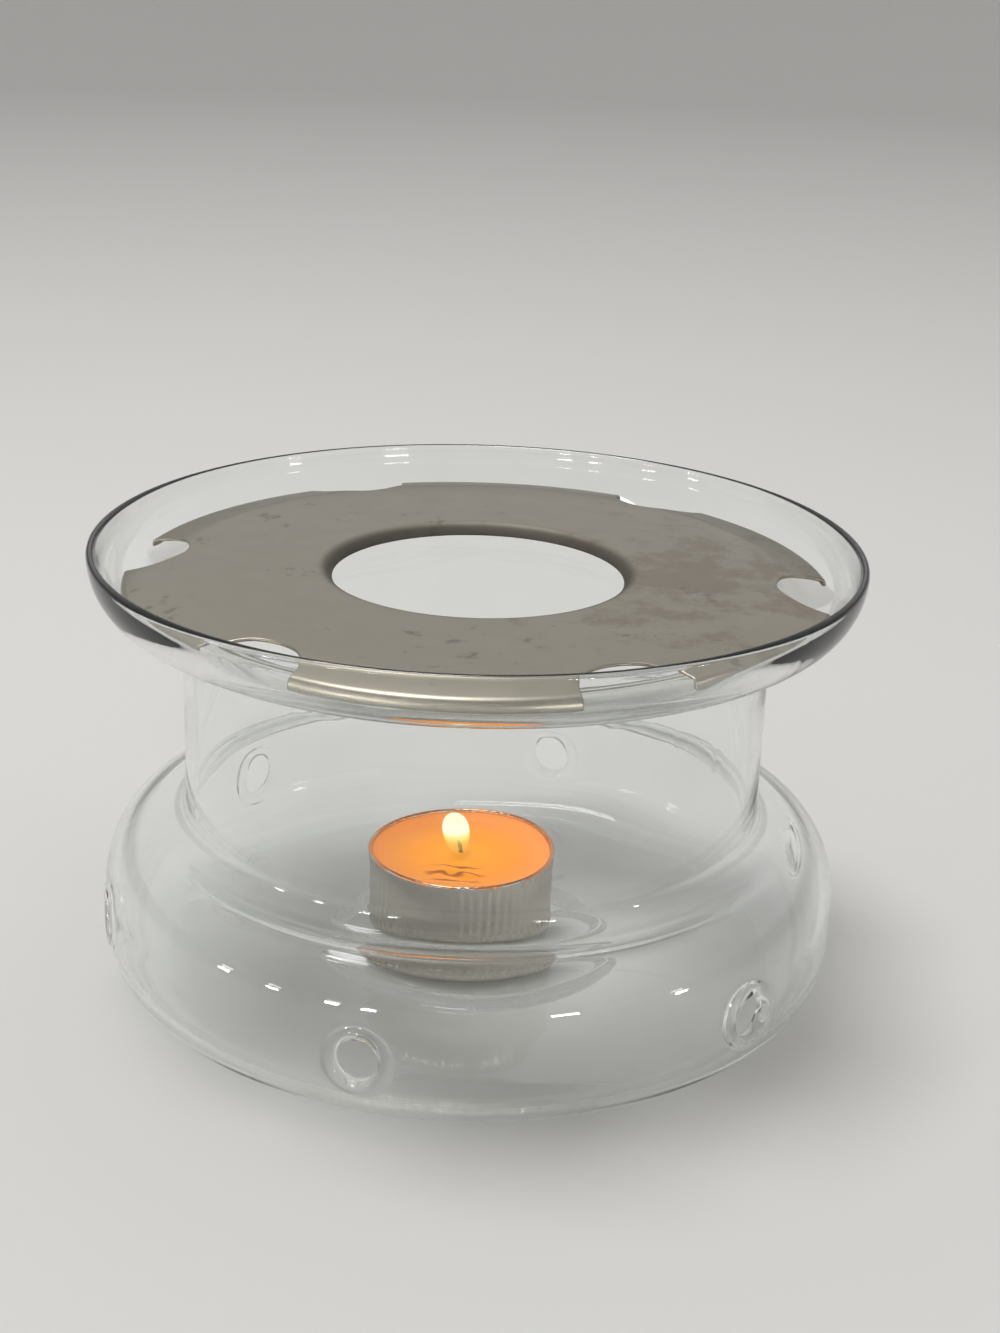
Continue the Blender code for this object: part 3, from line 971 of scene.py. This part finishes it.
class WARMER_OT_wick(bpy.types.Operator):
    """Build the burnt wick."""

    bl_idname = "warmer.wick"
    bl_label = "Wick"

    def execute(self, context):
        sizes = context.scene.warmer_candle
        made = turned_object("burnt_wick", wick_grid(sizes))
        dress(made, wick_material(sizes), "candle", ["candle_wick"])
        return {"FINISHED"}


class WARMER_OT_holder(bpy.types.Operator):
    """Give the wick's holder its finish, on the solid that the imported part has."""

    bl_idname = "warmer.holder"
    bl_label = "Wick holder"

    def execute(self, context):
        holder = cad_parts["wick_sustainer"]
        look = tin_material()
        for slot in holder.material_slots:
            slot.material = look
        return {"FINISHED"}


def flame_grid(sizes):
    """The flame: an egg about a middle line that leans to the left as it rises.

    Its radius is the widest radius times a power of the sine of the angle from the foot, times a
    straight rise with the height.
    """
    blunt, foot_share, swell = 0.85, 0.82, 0.24
    lift, lean_foot, lean_rise = 0.0003, 0.0005, 0.0012
    turn = np.linspace(0.0, np.pi, 48)
    angle = full_turn(48)
    share = (1.0 - np.cos(turn)) / 2
    radius = sizes.flame_radius * np.sin(turn) ** blunt * (foot_share + swell * share)
    level = pool_level(sizes)
    height = level + lift + sizes.flame_height * share
    grid = candle_points(radius[:, None], height[:, None], angle[None, :])
    grid[:, :, 0] -= (lean_foot + lean_rise * share)[:, None]
    return grid


def flame_material(sizes):
    """Light of the flame: dim and see-through at its foot, bright above the wick."""
    made, tree, shader = new_material("candle_flame")
    tree.nodes.remove(shader)
    low = CANDLE_Z + pool_level(sizes)
    rise = height_share(tree, object_coordinates(tree), low, low + sizes.flame_height)
    light = ramp(tree, rise, [(0.0, (0.70, 0.36, 0.05)), (0.30, (0.82, 0.52, 0.09)),
                              (0.50, (0.90, 0.74, 0.22)), (0.68, (0.90, 0.88, 0.66)),
                              (1.0, (0.86, 0.82, 0.56))])
    glow = add_node(tree, "ShaderNodeEmission")
    feed(glow, "Color", light)
    glow.inputs["Strength"].default_value = 1.3
    clear = add_node(tree, "ShaderNodeBsdfTransparent")
    solid = ramp(tree, rise, [(0.02, 0.14), (0.30, 0.38), (0.60, 0.96)])
    mix_surface(tree, solid, clear.outputs["BSDF"], glow.outputs["Emission"])
    return made


class WARMER_OT_flame(bpy.types.Operator):
    """Build the candle flame."""

    bl_idname = "warmer.flame"
    bl_label = "Flame"

    def execute(self, context):
        sizes = context.scene.warmer_candle
        made = turned_object("candle_flame", flame_grid(sizes))
        dress(made, flame_material(sizes), "candle")
        return {"FINISHED"}


# Stage

# Small lamps low in front: how far away and how high, then name, direction, width and power
STRIP_AWAY = 1.9
STRIP_HEIGHT = 0.07
STRIPS = (
    ("strip_far_left", (-0.955, -0.290, 0.10), 0.14, 2.4),
    ("strip_left", (-0.830, -0.550, 0.13), 0.14, 2.2),
    ("strip_left_middle", (-0.610, -0.780, 0.17), 0.14, 2.4),
    ("strip_left_front", (-0.455, -0.880, 0.18), 0.14, 2.4),
    ("strip_right_front", (0.460, -0.870, 0.18), 0.26, 3.8),
    ("strip_far_right", (0.890, -0.445, 0.12), 0.14, 2.4),
)


def sweep_grid():
    """A floor that turns up into a low wall all round: a flat disc and a quarter round."""
    flat, round_up = 2.0, 0.7
    angle = full_turn(96)
    line = joined_line(
        [(0.0, 0.0), (flat / 4, 0.0), (flat, 0.0)],
        arc_line((flat, round_up), round_up, -90, 0, 24),
    )
    return about_axis(line[:, 0, None], line[:, 1, None], angle[None, :])


def axes_matrix(right, up, back, place):
    """A matrix with three axes and a place as its columns."""
    turn = np.eye(4)
    turn[:3] = np.stack([right, up, back, place], axis=1)
    return Matrix(turn.tolist())


def area_lamp(name, place, aim, size, power):
    """A soft rectangular lamp that faces a point."""
    data = bpy.data.lights.new(name, "AREA")
    data.shape = "RECTANGLE"
    data.size, data.size_y = size
    data.energy = power
    lamp = bpy.data.objects.new(name, data)
    bpy.context.scene.collection.objects.link(lamp)
    back = np.array(place) - np.array(aim)
    back /= np.linalg.norm(back)
    right = np.cross([0.0, 0.0, 1.0], back)
    right /= np.linalg.norm(right)
    lamp.matrix_world = axes_matrix(right, np.cross(back, right), back, place)
    lamp.visible_camera = False


def soft_room():
    """A plain room for light, brighter behind the object than in front of it."""
    world = bpy.data.worlds.new("soft_room")
    world.use_nodes = True
    tree = world.node_tree
    way = split_axes(tree, add_node(tree, "ShaderNodeTexCoord").outputs["Generated"])
    depth = math_node(tree, "MULTIPLY_ADD", way["Y"], 0.5, 0.5)
    shade = ramp(tree, depth, [(0.0, 0.26), (0.35, 0.40), (0.70, 0.68), (1.0, 0.76)])
    feed(tree.nodes["Background"], "Color", shade)
    return world


def camera_matrix(stage):
    """Camera axes from yaw, pitch and roll, standing in front of the glass."""
    ahead = np.array([math.sin(stage.yaw) * math.cos(stage.pitch),
                      math.cos(stage.yaw) * math.cos(stage.pitch), -math.sin(stage.pitch)])
    right = np.cross(ahead, [0.0, 0.0, 1.0])
    right /= np.linalg.norm(right)
    up = np.cross(right, ahead)
    across = math.cos(stage.roll) * right + math.sin(stage.roll) * up
    over = math.cos(stage.roll) * up - math.sin(stage.roll) * right
    return axes_matrix(across, over, -ahead, (0.0, -stage.camera_back, stage.camera_height))


class WARMER_OT_stage(bpy.types.Operator):
    """Set up the pale sweep, the soft lamps, the world and the camera."""

    bl_idname = "warmer.stage"
    bl_label = "Stage"

    def execute(self, context):
        stage = context.scene.warmer_stage
        floor = turned_object("pale_sweep", sweep_grid())
        made, _, shader = new_material("pale_sweep")
        set_sockets(shader, {"Base Color": (*stage.floor, 1.0), "Roughness": 0.85})
        floor.data.materials.append(made)
        area_lamp("top_lamp", place=(-0.25, 0.10, 1.30), aim=(0.0, 0.0, 0.05), size=(0.5, 0.5),
                  power=8.0)
        for name, way, width, power in STRIPS:
            area_lamp(name, place=STRIP_AWAY * np.array(way), aim=(0.0, 0.0, 0.03),
                      size=(width, STRIP_HEIGHT), power=power)
        context.scene.world = soft_room()
        lens = bpy.data.cameras.new("front_camera")
        lens.sensor_width = 36.0
        lens.lens = stage.focal
        lens.clip_start = 0.01
        camera = bpy.data.objects.new("front_camera", lens)
        context.scene.collection.objects.link(camera)
        camera.matrix_world = camera_matrix(stage)
        context.scene.camera = camera
        context.scene.view_settings.view_transform = "Standard"
        return {"FINISHED"}


class WARMER_PT_panel(bpy.types.Panel):
    """Sidebar panel that lists the pieces and their sizes."""

    bl_idname = "WARMER_PT_panel"
    bl_label = "Teapot warmer"
    bl_space_type = "VIEW_3D"
    bl_region_type = "UI"
    bl_category = "Warmer"

    def draw(self, context):
        for piece in PIECES:
            self.layout.operator(piece.bl_idname)
        for name in SETTINGS:
            group = getattr(context.scene, name)
            box = self.layout.box()
            for key in group.__annotations__:
                box.prop(group, key)


SETTINGS = {
    "warmer_glass": WarmerGlassSizes,
    "warmer_plate": WarmerPlateSizes,
    "warmer_candle": WarmerCandleSizes,
    "warmer_stage": WarmerStageSettings,
}
PIECES = (WARMER_OT_glass, WARMER_OT_plate, WARMER_OT_cup, WARMER_OT_wax, WARMER_OT_wick,
          WARMER_OT_holder, WARMER_OT_flame, WARMER_OT_stage)


def register():
    """Registers the settings, the operators and the panel."""
    for name, group in SETTINGS.items():
        bpy.utils.register_class(group)
        setattr(bpy.types.Scene, name, PointerProperty(type=group))
    for piece in PIECES:
        bpy.utils.register_class(piece)
    bpy.utils.register_class(WARMER_PT_panel)


def unregister():
    """Takes the panel, the operators and the settings away again."""
    bpy.utils.unregister_class(WARMER_PT_panel)
    for piece in reversed(PIECES):
        bpy.utils.unregister_class(piece)
    for name, group in reversed(SETTINGS.items()):
        delattr(bpy.types.Scene, name)
        bpy.utils.unregister_class(group)


def main():
    """Builds every piece and the stage."""
    register()
    bpy.ops.warmer.glass()
    bpy.ops.warmer.plate()
    bpy.ops.warmer.cup()
    bpy.ops.warmer.wax()
    bpy.ops.warmer.wick()
    bpy.ops.warmer.holder()
    bpy.ops.warmer.flame()
    bpy.ops.warmer.stage()
    bpy.context.view_layer.update()


if __name__ == "__main__":
    main()
